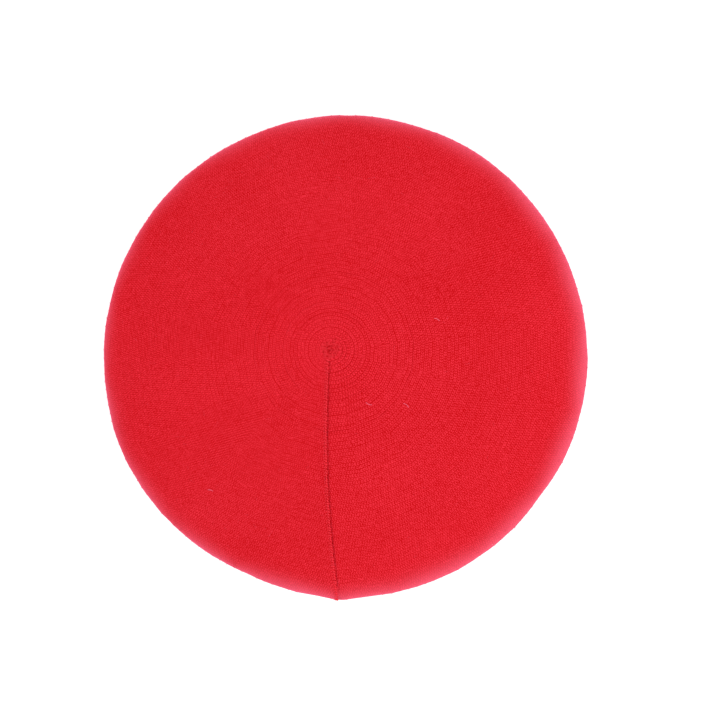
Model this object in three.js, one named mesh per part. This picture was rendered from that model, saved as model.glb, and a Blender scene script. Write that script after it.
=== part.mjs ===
// A knitted beret: a wide round crown, knitted in one piece and closed by a single radial seam,
// on a doubled rib headband with an elastic inside. A blank label hangs in the back of the band.
//
// Millimetres, +Z up. The origin is the centre of the headband's lower fold, on which the beret
// rests. +Y is the front of the hat, and the radial seam runs to the back, along -Y.

import * as THREE from "three";

// Driving dimensions.
const CROWN_RADIUS = 145; // an 11.4 inch crown
const CROWN_HEIGHT = 63; // the middle of the crown above the resting surface
const RIM_HEIGHT = 35; // the widest line of the crown, where the fabric turns under
const FABRIC = 2.4; // one layer of the lightly felted knit
const OPENING_RADIUS = 92; // the edge of the underside, around the headband
const OPENING_HEIGHT = 20; // the height of that edge
const TURN_RADIUS = 128; // where the underside's straight slope starts to turn up to the rim
const TURN_HEIGHT = 26.3;
const BAND_INNER_RADIUS = 84; // 528 mm around, relaxed
const BAND_HEIGHT = 21.5;
const BAND_LAYER = 1.9; // one of the band's two layers of rib
const BAND_CHANNEL = 1.2; // the space between them, which holds the elastic
const GAP = 0.3; // the clearance between pieces that touch on the real hat
const AROUND = 72; // facets in a full turn

const BAND_OUTER_RADIUS = BAND_INNER_RADIUS + 2 * BAND_LAYER + BAND_CHANNEL;

// Where the rings of knitting close, a little off the middle of the crown.
const CENTRE = new THREE.Vector2(-9, 4);

// Colours of the yarns and trims.
const CROWN_RED = 0xd91e2b;
const BAND_RED = 0xcb1a28;
const THREAD_RED = 0xc41625;
const SEAM_RED = 0xe2404c;
const ELASTIC_WHITE = 0xe9e6df;
const LABEL_WHITE = 0xf1eee6;

const beret = new THREE.Group();

function addPiece(name, geometry, color, roughness) {
  const material = new THREE.MeshStandardMaterial({ color, roughness, metalness: 0 });
  const piece = new THREE.Mesh(geometry, material);
  piece.name = name;
  beret.add(piece);
  return piece;
}

// A solid of revolution about Z from a list of (radius, height) points.
function turned(profile) {
  const geometry = new THREE.LatheGeometry(profile, AROUND);
  geometry.rotateX(Math.PI / 2);
  return geometry;
}

// A round cord of the given radius along a curve.
function cordAlong(curve, radius, steps) {
  const section = new THREE.Shape();
  section.absarc(0, 0, radius, 0, 2 * Math.PI);
  return new THREE.ExtrudeGeometry(section, {
    extrudePath: curve,
    steps,
    curveSegments: 4,
    bevelEnabled: false,
  });
}

// Half sections of the crown, from the rim. An inset of 0 gives the outer surface, and an inset
// of one fabric thickness gives the inner surface.
function topCurve(inset) {
  const shoulderRadius = 85;
  const shoulderRise = 15.5;
  return new THREE.CubicBezierCurve(
    new THREE.Vector2(CROWN_RADIUS - inset, RIM_HEIGHT + GAP / 2),
    new THREE.Vector2(CROWN_RADIUS - inset, RIM_HEIGHT + shoulderRise - inset / 2),
    new THREE.Vector2(shoulderRadius, CROWN_HEIGHT - inset),
    new THREE.Vector2(0, CROWN_HEIGHT - inset),
  );
}

function undersideCurve(inset) {
  const turnDrop = 9;
  return new THREE.CubicBezierCurve(
    new THREE.Vector2(CROWN_RADIUS - inset, RIM_HEIGHT - GAP / 2),
    new THREE.Vector2(CROWN_RADIUS - inset, RIM_HEIGHT - turnDrop + inset),
    new THREE.Vector2(TURN_RADIUS - inset, TURN_HEIGHT + inset),
    new THREE.Vector2(OPENING_RADIUS, OPENING_HEIGHT + inset),
  );
}

// The crown is one knitted fabric. It is divided at the rim, where it folds under, into a dome
// and the soft cone below it.
function addCrown() {
  const domeSteps = 9;
  const dome = topCurve(FABRIC).getPoints(domeSteps).reverse();
  dome.push(...topCurve(0).getPoints(domeSteps));
  addPiece("crown_top", turned(dome), CROWN_RED, 0.92);

  const coneSteps = 8;
  const cone = undersideCurve(0).getPoints(coneSteps).reverse();
  cone.push(...undersideCurve(FABRIC).getPoints(coneSteps));
  cone.push(cone[0].clone());
  addPiece("crown_underside", turned(cone), CROWN_RED, 0.92);
}

// The gathering thread that closes the last loops at the crown's centre, and its knot inside.
function addCentre() {
  const threadRadius = 0.7;
  const gatherRadius = 4.5;
  const closingRing = addPiece(
    "centre_closing_ring",
    new THREE.TorusGeometry(gatherRadius, threadRadius, 8, 24),
    THREAD_RED,
    0.9,
  );
  closingRing.position.set(CENTRE.x, CENTRE.y, CROWN_HEIGHT + GAP + threadRadius);

  const knotRadius = 2.2;
  const knotFlatness = 0.55;
  const knot = addPiece("centre_knot", new THREE.SphereGeometry(knotRadius, 12, 8), THREAD_RED, 0.9);
  knot.scale.z = knotFlatness;
  knot.position.set(CENTRE.x, CENTRE.y, CROWN_HEIGHT - FABRIC - GAP - knotRadius * knotFlatness);
}

// The linking chain of the radial seam. It lies on the outer surface from the crown's centre to
// the back of the rim, bowed a little to the left, then on below the rim towards the headband.
function addRadialSeam() {
  const chainRadius = 0.8;
  const startX = -9.3;
  const rimX = -4.2;
  const bow = 3.6;
  const startRadius = 10.5;
  const endRadius = 101;

  function seamX(radius, onTop) {
    const share = radius / CROWN_RADIUS;
    if (onTop) {
      return THREE.MathUtils.lerp(startX, rimX, share) - bow * Math.sin(Math.PI * share);
    }
    return rimX * share;
  }

  // side is 1 on the top curve and -1 on the underside, whose outer side is on its other hand.
  function seamPoint(curve, t, side) {
    const along = curve.getTangent(t);
    const surface = curve.getPoint(t);
    const x = seamX(surface.x, side > 0);
    const lift = side * (GAP + chainRadius);
    const radius = surface.x + along.y * lift;
    const height = surface.y - along.x * lift;
    return new THREE.Vector3(x, -Math.sqrt(radius * radius - x * x), height);
  }

  const points = [];
  const stops = 96;
  const top = topCurve(0);
  for (let i = stops; i > 0; i -= 1) {
    if (top.getPoint(i / stops).x >= startRadius) {
      points.push(seamPoint(top, i / stops, 1));
    }
  }
  const underside = undersideCurve(0);
  for (let i = 1; i <= stops; i += 1) {
    if (underside.getPoint(i / stops).x >= endRadius) {
      points.push(seamPoint(underside, i / stops, -1));
    }
  }
  const chain = new THREE.CatmullRomCurve3(points);
  addPiece("radial_seam_chain", cordAlong(chain, chainRadius, 56), SEAM_RED, 0.9);

  // A short bar of stitches that locks the seam's end beside the headband.
  const bar = new THREE.Vector3(3.2, 5.5, 0.9);
  const barRadius = 96.6;
  const rise = (TURN_HEIGHT - OPENING_HEIGHT) / (TURN_RADIUS - OPENING_RADIUS);
  const surfaceHeight = OPENING_HEIGHT + (barRadius - OPENING_RADIUS) * rise;
  const tack = addPiece("seam_bartack", new THREE.BoxGeometry(bar.x, bar.y, bar.z), THREAD_RED, 0.9);
  tack.position.set(seamX(barRadius, false), -barRadius, surfaceHeight - 1.3 * GAP - bar.z / 2);
  tack.rotation.x = -Math.atan(rise);
}

// The headband: rib folded double, open at its top edge, where the crown's edge is linked to it.
function addHeadband() {
  const foldRadius = 1.5;
  const outer = BAND_OUTER_RADIUS;
  const inner = BAND_INNER_RADIUS;
  const foldFloor = 2.4;
  const section = new THREE.Path();
  section.moveTo(inner, BAND_HEIGHT);
  section.lineTo(inner, foldRadius);
  section.absarc(inner + foldRadius, foldRadius, foldRadius, Math.PI, 1.5 * Math.PI, false);
  section.absarc(outer - foldRadius, foldRadius, foldRadius, 1.5 * Math.PI, 2 * Math.PI, false);
  section.lineTo(outer, BAND_HEIGHT);
  section.lineTo(outer - BAND_LAYER, BAND_HEIGHT);
  section.lineTo(outer - BAND_LAYER, foldFloor);
  section.lineTo(inner + BAND_LAYER, foldFloor);
  section.lineTo(inner + BAND_LAYER, BAND_HEIGHT);
  section.lineTo(inner, BAND_HEIGHT);
  addPiece("headband", turned(section.getPoints(2)), BAND_RED, 0.9);

  // A flat woven elastic, standing on edge inside the fold.
  const elasticWidth = 12;
  const elasticThickness = BAND_CHANNEL - 2 * GAP;
  const elasticFoot = foldFloor + 1.6;
  const elasticInner = inner + BAND_LAYER + GAP;
  const strip = new THREE.Path();
  strip.moveTo(elasticInner, elasticFoot);
  strip.lineTo(elasticInner + elasticThickness, elasticFoot);
  strip.lineTo(elasticInner + elasticThickness, elasticFoot + elasticWidth);
  strip.lineTo(elasticInner, elasticFoot + elasticWidth);
  strip.lineTo(elasticInner, elasticFoot);
  addPiece("headband_elastic", turned(strip.getPoints()), ELASTIC_WHITE, 0.7);

  // The chain of linking stitches that joins the crown's edge to the top of the band.
  const chainHeight = 1.7;
  const chainInner = outer + GAP;
  const chainOuter = OPENING_RADIUS - 3 * GAP;
  const chainFoot = BAND_HEIGHT - 1.3;
  const corner = 0.5;
  const chain = new THREE.Path();
  chain.moveTo(chainInner, chainFoot);
  chain.lineTo(chainOuter - corner, chainFoot);
  chain.lineTo(chainOuter, chainFoot + corner);
  chain.lineTo(chainOuter, chainFoot + chainHeight - corner);
  chain.lineTo(chainOuter - corner, chainFoot + chainHeight);
  chain.lineTo(chainInner, chainFoot + chainHeight);
  chain.lineTo(chainInner, chainFoot);
  addPiece("linking_chain", turned(chain.getPoints()), THREAD_RED, 0.9);

  // The ridge where the band's two ends are linked into a ring, on its inside at the back.
  const ridge = new THREE.Vector3(3, 1.3, BAND_HEIGHT - 3);
  const seam = addPiece(
    "band_joint_seam",
    new THREE.BoxGeometry(ridge.x, ridge.y, ridge.z),
    THREAD_RED,
    0.9,
  );
  seam.position.set(0, -(inner - 1.3 * GAP - ridge.y / 2), BAND_HEIGHT / 2);
}

// The blank woven label hangs from two stitches and swings about its top edge.
function addLabel() {
  const label = new THREE.Vector3(30, 0.8, 14.6);
  const labelDepth = -81.5;
  const hingeHeight = 20;
  const topBelowHinge = 0.4;
  const tag = addPiece("care_label", new THREE.BoxGeometry(label.x, label.y, label.z), LABEL_WHITE, 0.75);
  tag.position.set(0, labelDepth, hingeHeight - topBelowHinge - label.z / 2);

  const stitch = new THREE.Vector3(2.8, 1.4, 0.7);
  const stitchX = 12.4;
  const swingRoom = 0.85; // the label's top corners pass under the stitches
  const sides = [["label_stitch_left", -1], ["label_stitch_right", 1]];
  for (const [name, side] of sides) {
    const bar = addPiece(name, new THREE.BoxGeometry(stitch.x, stitch.y, stitch.z), THREAD_RED, 0.85);
    bar.position.set(side * stitchX, labelDepth, hingeHeight + swingRoom + stitch.z / 2);
  }
}

addCrown();
addCentre();
addRadialSeam();
addHeadband();
addLabel();

export default beret;
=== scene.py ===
"""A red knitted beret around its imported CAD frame: one continuous knit for the crown, a rib band,
the linked radial seam, the gathered centre and a blank label. Geometry is worked out in
millimetres and turned into metres where each mesh is made."""

import math

import bpy
import numpy as np
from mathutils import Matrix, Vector


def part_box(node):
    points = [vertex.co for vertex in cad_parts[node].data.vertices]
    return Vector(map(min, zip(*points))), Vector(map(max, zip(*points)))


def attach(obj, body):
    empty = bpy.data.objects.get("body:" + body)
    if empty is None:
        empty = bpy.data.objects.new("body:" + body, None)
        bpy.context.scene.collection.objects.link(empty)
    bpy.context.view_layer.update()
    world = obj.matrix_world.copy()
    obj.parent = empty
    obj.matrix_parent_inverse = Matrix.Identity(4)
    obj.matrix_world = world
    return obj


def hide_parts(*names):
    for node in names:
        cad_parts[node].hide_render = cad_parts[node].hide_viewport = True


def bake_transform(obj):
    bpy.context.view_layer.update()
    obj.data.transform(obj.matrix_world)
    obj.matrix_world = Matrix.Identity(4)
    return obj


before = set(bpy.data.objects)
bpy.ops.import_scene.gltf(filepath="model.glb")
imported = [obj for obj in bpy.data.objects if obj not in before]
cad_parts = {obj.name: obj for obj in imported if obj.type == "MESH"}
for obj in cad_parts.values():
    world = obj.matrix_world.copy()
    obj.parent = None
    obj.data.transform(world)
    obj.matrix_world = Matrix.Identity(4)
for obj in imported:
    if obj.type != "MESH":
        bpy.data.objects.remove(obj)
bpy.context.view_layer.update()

MM = 0.001
TAU = 2 * math.pi


def node_box(name):
    """A CAD node's lowest and highest corners, in millimetres."""
    low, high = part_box(name)
    return np.array(low) / MM, np.array(high) / MM


# Driving sizes, from the frame.
top_low, top_high = node_box("crown_top")
under_low, under_high = node_box("crown_underside")
band_high = node_box("headband")[1]
elastic_low, elastic_high = node_box("headband_elastic")
chain_low, chain_high = node_box("linking_chain")
closing_low, closing_high = node_box("centre_closing_ring")
knot_low, knot_high = node_box("centre_knot")
ridge_low, ridge_high = node_box("band_joint_seam")
label_low, label_high = node_box("care_label")
stitch_low, stitch_high = node_box("label_stitch_right")
CROWN_R = top_high[0]
TOP_Z = top_high[2]
RIM_Z = (top_low[2] + under_high[2]) / 2
OPENING_Z = under_low[2]
BAND_R = band_high[0]
BAND_TOP = band_high[2]
BAND_WIDTH = 5.0
ELASTIC_R = elastic_high[0]
ELASTIC_INNER_R = ELASTIC_R - 0.6
CHAIN_R = chain_high[0] - 1.0
CENTRE = (closing_low[:2] + closing_high[:2]) / 2

# The knit. Its wales run round the crown as rings, and its courses run out from the centre.
FABRIC = 2.3
WALES = 105
WALE_SPREAD = 0.1  # how much the wales close up from the centre to the band
WALE_PHASES = (0.0, 0.14, 0.5, 0.86)  # rows of points in each wale, from its groove at 0
FINE_PHASES = (0.0, 0.14, 0.3, 0.5, 0.7, 0.86)
FINE_WALES = 5
STRONG_WALES = (3, 4, 6, 8, 10, 13, 21)  # rings whose grooves show more than the rest
COURSE = 1.40
GORE = math.radians(20)
SEAM_END_X = -4.2  # where the seam meets the rim at the back
SEAM_ANGLE = math.atan2(-CROWN_R - CENTRE[1], SEAM_END_X - CENTRE[0])
FIRST_EDGE = math.radians(-74)
SEAM_BOW = 3.6

# Columns beside the seam: their distance from it, and the widest angle they may stand at.
SEAM_OFFSETS = (0.27, 0.7, 1.5, 2.8, 4.4)
SEAM_ANGLES = tuple(math.radians(a) for a in (1.0, 2.0, 3.5, 5.5, 8.0))

# Soft dips and swells of the crown: x, y, radius, height.
SWELLS = (
    (-82, -42, 30, -3.8),
    (51, 94, 24, -1.6),
    (36, 19, 18, -1.2),
    (70, -8, 20, -2.1),
    (38, -78, 26, -2.2),
    (68, 47, 22, 2.3),
    (63, -46, 20, 1.4),
    (-88, 0, 24, 1.6),
    (-45, 8, 22, 1.5),
    (-30, 75, 30, 0.9),
    (-20, -95, 22, 0.8),
)

# Outline: angle in degrees, half width in degrees, how far it stands out.
OUTLINE = (
    (247, 14, -2.1),
    (205, 16, 1.4),
    (75, 12, -0.8),
    (320, 22, -0.9),
    (268.5, 3.5, 1.3),
    (-36, 5, -0.7),
)

RIBS = 210

# The soft crown's drape: its coarse grid, its cloth, and how much of its movement is kept.
DRAPE_COLUMNS = 90
DRAPE_ROWS = 44
DRAPE_FRAMES = 24
DRAPE_CLOTH = {
    "quality": 6,
    "mass": 0.1,
    "tension_stiffness": 14,
    "compression_stiffness": 14,
    "shear_stiffness": 4,
    "bending_stiffness": 0.3,
    "shrink_min": -0.02,  # a little too large for its place
    "use_pressure": True,
    "uniform_pressure_force": 0.3,
}
DRAPE_GRAVITY = 0.05  # the felted wool carries most of its own weight
TOP_HOLD, TOP_HOLD_RADII = 0.3, (60, 125)
LIP_HOLD_WALES = (WALES - 12, WALES - 6)
DRAPE_WAVES = 22
DRAPE_MOST = 4.0
DRAPE_SIDEWAYS = 0.08  # the outline stays as it is
DRAPE_TOP_SINK = 0.45


# --- helpers


def bell(x):
    return np.exp(-x * x)


def smooth(x, low, high):
    t = np.clip((x - low) / (high - low), 0, 1)
    return t * t * (3 - 2 * t)


def turn(a):
    """An angle brought to within half a turn of zero."""
    return (a + math.pi) % TAU - math.pi


def bezier(points, count):
    t = np.linspace(0, 1, count)[:, None]
    a, b, c, d = (np.array(p, float) for p in points)
    return a * (1 - t) ** 3 + 3 * b * t * (1 - t) ** 2 + 3 * c * t * t * (1 - t) + d * t ** 3


def unit(v):
    return v / np.maximum(np.linalg.norm(v, axis=-1, keepdims=True), 1e-9)


def ripple(x, y, length, seed, count=11):
    """A smooth uneven field with swells about this length apart, mostly from -1.5 to 1.5."""
    rng = np.random.default_rng(seed)
    total = np.zeros(np.shape(x))
    for heading, shift, stretch in rng.random((count, 3)):
        wave = TAU / (length * (0.7 + 0.6 * stretch))
        ahead = x * math.cos(heading * TAU) + y * math.sin(heading * TAU)
        total += np.sin(wave * ahead + shift * TAU)
    return total / math.sqrt(count / 2)


def make_mesh(name, points, faces, material, uv=None):
    """A smooth mesh object from points in millimetres."""
    mesh = bpy.data.meshes.new(name)
    mesh.from_pydata((np.asarray(points) * MM).tolist(), [], faces)
    mesh.polygons.foreach_set("use_smooth", [True] * len(mesh.polygons))
    if uv is not None:
        layer = mesh.uv_layers.new(name="knit")
        layer.uv.foreach_set("vector", np.asarray(uv, np.float32).ravel())
    mesh.materials.append(material)
    mesh.update()
    thing = bpy.data.objects.new(name, mesh)
    bpy.context.scene.collection.objects.link(thing)
    return thing


ROWS_FIRST = ((0, 0), (0, 1), (1, 1), (1, 0))
COLUMNS_FIRST = ((0, 0), (1, 0), (1, 1), (0, 1))


def grid_faces(columns, rows, close_columns, close_rows, order):
    """Quads of a grid of points that may close on itself either way. Also gives the column and
    row of each corner, counted on past the grid's end where it closes."""
    c, r = np.meshgrid(
        np.arange(columns - (not close_columns)), np.arange(rows - (not close_rows)), indexing="ij"
    )
    corners = [(c + across, r + down) for across, down in order]
    faces = np.stack([a % columns * rows + b % rows for a, b in corners], -1)
    return faces.reshape(-1, 4).tolist(), corners


def corner_map(pairs):
    """Map points for a grid's faces, from one pair of coordinates for each corner."""
    return np.stack([np.stack(np.broadcast_arrays(*pair), -1) for pair in pairs], 2).reshape(-1, 2)


def path_length(path):
    """How far along a path each of its points lies."""
    return np.concatenate([[0], np.cumsum(np.linalg.norm(np.diff(path, axis=0), axis=1))])


def tube_ring(side, lift, sides):
    """Directions round a tube at each point of its path."""
    angle = np.arange(sides)[:, None] * TAU / sides
    return side[:, None] * np.cos(angle) + lift[:, None] * np.sin(angle)


def ray(angle):
    """One unit in this direction, in plan."""
    return np.stack([np.cos(angle), np.sin(angle)], -1)


def polar(radius, angle, height):
    """Points this far from an upright axis, in these directions and at these heights."""
    return np.stack(np.broadcast_arrays(radius * np.cos(angle), radius * np.sin(angle), height), -1)


class Solid:
    """Points and faces gathered from many small closed bodies into one mesh."""

    def __init__(self):
        self.points = []
        self.faces = []
        self.uv = []
        self.count = 0

    def add(self, points, faces, uv):
        """faces are rows of point numbers, with one map point for each corner."""
        self.points.append(points)
        self.faces.extend([a + self.count for a in f] for f in faces)
        self.uv.append(uv)
        self.count += len(points)

    def tube(self, path, radius, sides=6, flatten=1.0, up=(0, 0, 1)):
        """A closed tube along a path, with a radius at each point. flatten thins it along up."""
        path = np.asarray(path, float)
        radius = np.broadcast_to(np.asarray(radius, float), len(path))
        along = unit(np.gradient(path, axis=0))
        across = unit(np.cross(along, np.broadcast_to(np.asarray(up, float), path.shape)))
        lift = np.cross(across, along)
        body = path[:, None] + tube_ring(across, lift * flatten, sides) * radius[:, None, None]
        ends = np.stack([path[0] - along[0] * radius[0] * 0.6, path[-1] + along[-1] * radius[-1] * 0.6])
        points = np.concatenate([body.reshape(-1, 3), ends])
        steps = len(path)
        length = path_length(path)
        faces, corners = grid_faces(steps, sides, False, True, ROWS_FIRST)
        base, first, last = (steps - 1) * sides, steps * sides, steps * sides + 1
        for j in range(sides):
            k = (j + 1) % sides
            faces += [[first, k, j], [last, base + j, base + k]]
        around = corner_map((length[a], b / sides) for a, b in corners)
        caps = ([(0, 0.5)] * 3 + [(length[-1], 0.5)] * 3) * sides
        self.add(points, faces, np.concatenate([around, caps]))

    def loop(self, path, radius, sides=6):
        """A closed ring of yarn through these points."""
        path = np.asarray(path, float)
        along = unit(np.roll(path, -1, 0) - np.roll(path, 1, 0))
        out = unit(path - path.mean(0))
        lift = unit(np.cross(along, out))
        side = np.cross(lift, along)
        body = path[:, None] + radius * tube_ring(side, lift, sides)
        step = np.linalg.norm(np.roll(path, -1, 0) - path, axis=1).mean()
        faces, corners = grid_faces(len(path), sides, True, True, COLUMNS_FIRST)
        self.add(body.reshape(-1, 3), faces, corner_map((a * step, b / sides) for a, b in corners))

    def build(self, name, material):
        points, uv = np.concatenate(self.points), np.concatenate(self.uv)
        return make_mesh(name, points, self.faces, material, uv)


# --- materials


class Graph:
    """Short ways to add shader nodes to a new material."""

    def __init__(self, name):
        self.material = bpy.data.materials.new(name)
        self.material.use_nodes = True
        self.tree = self.material.node_tree
        self.shader = self.tree.nodes["Principled BSDF"]

    def put(self, socket, value):
        if isinstance(value, bpy.types.NodeSocket):
            self.tree.links.new(value, socket)
        else:
            socket.default_value = value

    def node(self, kind, inputs=(), **settings):
        made = self.tree.nodes.new(kind)
        for key, value in settings.items():
            setattr(made, key, value)
        for key, value in dict(inputs).items():
            self.put(made.inputs[key], value)
        return made

    def math(self, operation, a, b=0.0, c=0.0):
        made = self.node("ShaderNodeMath", operation=operation)
        for socket, value in zip(made.inputs, (a, b, c)):
            self.put(socket, value)
        return made.outputs[0]

    def times(self, a, b, plus=None):
        """a times b, plus a third value if there is one."""
        if plus is None:
            return self.math("MULTIPLY", a, b)
        return self.math("MULTIPLY_ADD", a, b, plus)

    def mix(self, factor, a, b):
        inputs = {"Factor": factor, "A": a, "B": b}
        return self.node("ShaderNodeMix", inputs, data_type="RGBA").outputs["Result"]

    def noise(self, vector, scale, detail=2.0, roughness=0.5):
        inputs = {"Vector": vector, "Scale": scale, "Detail": detail, "Roughness": roughness}
        return self.node("ShaderNodeTexNoise", inputs).outputs["Fac"]

    def chance(self, x, y):
        """A value from 0 to 1 for each place that these two numbers name."""
        joined = self.node("ShaderNodeCombineXYZ", {"X": x, "Y": y}).outputs[0]
        return self.node("ShaderNodeTexWhiteNoise", {"Vector": joined}).outputs["Value"]

    def row_noise(self, along, row):
        """Noise that changes slowly along a row of stitches, and afresh from row to row."""
        x, y = self.times(along, 0.16), self.times(row, 5.3)
        return self.noise(self.node("ShaderNodeCombineXYZ", {"X": x, "Y": y}).outputs[0], 1.0, 1.0)

    def place(self):
        return self.node("ShaderNodeTexCoord").outputs["Object"]

    def uv(self):
        """The two coordinates of the map named knit."""
        read = self.node("ShaderNodeUVMap", uv_map="knit").outputs["UV"]
        parts = self.node("ShaderNodeSeparateXYZ", {"Vector": read})
        return parts.outputs["X"], parts.outputs["Y"]

    def bump(self, height, distance, strength=1.0, normal=None):
        inputs = {"Height": height, "Distance": distance, "Strength": strength}
        made = self.node("ShaderNodeBump", inputs)
        if normal is not None:
            self.put(made.inputs["Normal"], normal)
        return made.outputs["Normal"]

    def finish(self, colour, roughness, normal, sheen=0.0, tint=(1, 1, 1, 1), sheen_roughness=0.4):
        self.put(self.shader.inputs["Base Color"], colour)
        self.put(self.shader.inputs["Roughness"], roughness)
        self.put(self.shader.inputs["Normal"], normal)
        self.shader.inputs["Specular IOR Level"].default_value = 0.06
        self.shader.inputs["Sheen Weight"].default_value = sheen
        self.shader.inputs["Sheen Roughness"].default_value = sheen_roughness
        self.shader.inputs["Sheen Tint"].default_value = tint
        return self.material


class Sky(Graph):
    """The same short ways for the world's nodes."""

    def __init__(self, world):
        self.tree = world.node_tree
        self.background = self.tree.nodes["Background"]


def knit_material(name, dark, light, sheen, groove, groove_reach, painted_sheen_wale=None):
    """Plain knit: rows of V stitches whose wales are one unit apart and courses one unit long.
    The strands are painted lighter on their crowns and darker in the gaps between them, as painted
    shade. The grooves between wales get more painted shade, by groove, less and less over
    groove_reach wales. Along the rim's wale, the last argument, the colour is painted paler and
    pinker: a painted sheen for the glow at the rim's fold."""
    g = Graph(name)
    course, wale = g.uv()
    across = g.math("FRACT", wale)
    side = g.math("ABSOLUTE", g.times(across, 2.0, -1.0))
    wander = g.noise(g.place(), 200.0, 1.0)
    stagger = g.times(g.math("MODULO", g.math("FLOOR", wale), 2.0), 0.5)
    lean = g.times(side, -0.55, g.math("ADD", course, stagger))
    shifted = g.times(wander, 0.35, lean)
    phase = g.math("FRACT", shifted)
    strand = g.math("SINE", g.times(phase, math.pi))
    leg = g.times(side, 2.0, -1.0)
    round_leg = g.times(g.times(leg, leg), -0.7, 1.0)
    height = g.times(strand, round_leg)

    legs = g.math("FLOOR", g.times(wale, 2.0))
    stitch = g.chance(g.math("FLOOR", shifted), legs)
    fuzz = g.noise(g.place(), 1900.0, 1.0, 0.5)
    broad = g.noise(g.place(), 17.0, 2.0, 0.5)
    # Painted shade: the strands are lighter on their crowns and darker in the gaps between them, from
    # the same height as the bump.
    shade = g.times(height, 1.12, -1.56)
    shade = g.times(stitch, 0.16, shade)
    shade = g.times(fuzz, 2.5, shade)
    shade = g.times(broad, 0.30, shade)
    # Painted shade: the knit turns slowly darker towards its outer wales.
    shade = g.times(wale, -0.0018, shade)

    # Painted shade: the grooves between wales are darkened, unevenly from ring to ring and along each
    # ring, and less further out.
    border = g.math("FLOOR", g.math("ADD", wale, 0.5))
    mark = g.math("POWER", g.chance(border, 3.7), 2.2)
    fade = g.math("EXPONENT", g.times(border, -1.0 / groove_reach))
    mark = g.times(g.times(mark, fade), 1.2, 0.18)
    mark = g.times(mark, g.math("MINIMUM", border, 1.0))
    breaks = g.row_noise(course, border)
    mark = g.times(mark, g.times(breaks, 3.0, -0.5))
    line = g.times(g.math("POWER", side, 3.5), mark)
    shade = g.times(line, -groove, shade)
    ridge = g.math("SUBTRACT", 1.0, g.times(side, side))
    lit = g.times(g.row_noise(course, g.math("FLOOR", wale)), 0.5, -0.25)
    shade = g.times(g.times(ridge, lit), groove, shade)
    colour = g.mix(shade, dark, light)
    # Painted sheen: along the rim's fold the colour turns paler and pinker, for the glow there.
    if painted_sheen_wale:
        apart = g.times(wale, 1 / 4.5, -painted_sheen_wale / 4.5)
        near = g.math("EXPONENT", g.times(g.times(apart, apart), -1.0))
        colour = g.mix(g.times(near, 0.45), colour, PAINTED_RIM_SHEEN)
    normal = g.bump(height, 0.4 * MM, 0.18)
    normal = g.bump(fuzz, 0.5 * MM, 0.25, normal)
    return g.finish(colour, 0.92, normal, sheen, (1.0, 0.28, 0.54, 1.0), 0.34)


def yarn_material(name, dark, light, ply=1.1):
    """Plied yarn: slanting plies round each strand, with loose fibres."""
    g = Graph(name)
    along, around = g.uv()
    twist = g.math("FRACT", g.times(along, 1.0 / ply, g.times(around, 2.0)))
    strand = g.math("SINE", g.times(twist, math.pi))
    fuzz = g.noise(g.place(), 1500.0, 3.0, 0.6)
    # Painted shade: each ply is lighter on its crown and darker where it meets the next, following the
    # bump.
    shade = g.times(strand, 0.40, -0.22)
    shade = g.times(fuzz, 0.95, shade)
    colour = g.mix(shade, dark, light)
    normal = g.bump(strand, 0.2 * MM, 0.7)
    normal = g.bump(fuzz, 0.3 * MM, 0.4, normal)
    return g.finish(colour, 0.9, normal, 0.05, (1.0, 0.3, 0.45, 1.0), 0.3)


def woven_material(name, dark, light, warp, weft, sheen=0.1):
    """Woven tape: threads over and under, warp by weft millimetres apart in the map's units."""
    g = Graph(name)
    u, v = g.uv()
    warp_wave = g.math("SINE", g.times(u, TAU / warp))
    weft_wave = g.math("SINE", g.times(v, TAU / weft))
    weave = g.times(warp_wave, weft_wave)
    fuzz = g.noise(g.place(), 900.0, 2.0)
    # Painted shade: the threads are lighter where they pass over and darker where they pass under,
    # following the bump.
    shade = g.times(weave, 0.28, 0.42)
    shade = g.times(fuzz, 0.3, shade)
    colour = g.mix(shade, dark, light)
    normal = g.bump(weave, 0.08 * MM, 0.8)
    return g.finish(colour, 0.6, normal, sheen, (1, 1, 1, 1), 0.4)


def rgb(red, green, blue):
    return (red, green, blue, 1.0)


# The paler pink of the painted sheen along the rim's fold.
PAINTED_RIM_SHEEN = rgb(1.0, 0.16, 0.26)
BAND_KNIT = knit_material("rib_knit", rgb(0.49, 0.000, 0.001), rgb(0.85, 0.030, 0.050), 0.5, 0.60, 1e6)
# Brighter than the knit's wool: a painted highlight on the raised seam stitches.
SEAM_YARN = yarn_material("seam_yarn", rgb(0.98, 0.008, 0.022), rgb(1.00, 0.075, 0.110))
RED_THREAD = yarn_material("red_thread", rgb(0.66, 0.000, 0.006), rgb(1.00, 0.055, 0.080))
# Paler and pinker than the knit: partly the loose fibres' own colour, partly a painted glow for the
# halo round the rim.
LOOSE_WOOL = yarn_material("loose_wool", rgb(1.00, 0.06, 0.11), rgb(1.00, 0.20, 0.32))
LABEL_CLOTH = woven_material("label_cloth", rgb(0.62, 0.60, 0.55), rgb(0.86, 0.85, 0.81), 0.5, 0.42)
ELASTIC = woven_material("woven_elastic", rgb(0.50, 0.48, 0.44), rgb(0.82, 0.80, 0.76), 1.2, 1.0)


# --- the crown's shape


def half_section():
    """The crown's half section from the centre, over the rim, in to the band: radius, height."""
    shoulder, rise, drop = 85, 15.5, 9
    turn_at, lip_at = (128, 26.3), (93.5, 20.35)
    top = bezier([(0, TOP_Z), (shoulder, TOP_Z), (CROWN_R, RIM_Z + rise), (CROWN_R, RIM_Z)], 241)
    under = bezier([(CROWN_R, RIM_Z), (CROWN_R, RIM_Z - drop), turn_at, lip_at], 121)
    lip = bezier([lip_at, (91.9, OPENING_Z), (91.6, BAND_TOP + 0.9), (85.2, BAND_TOP + 0.3)], 25)
    return np.concatenate([top, under[1:], lip[1:]]), len(top) - 1


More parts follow.
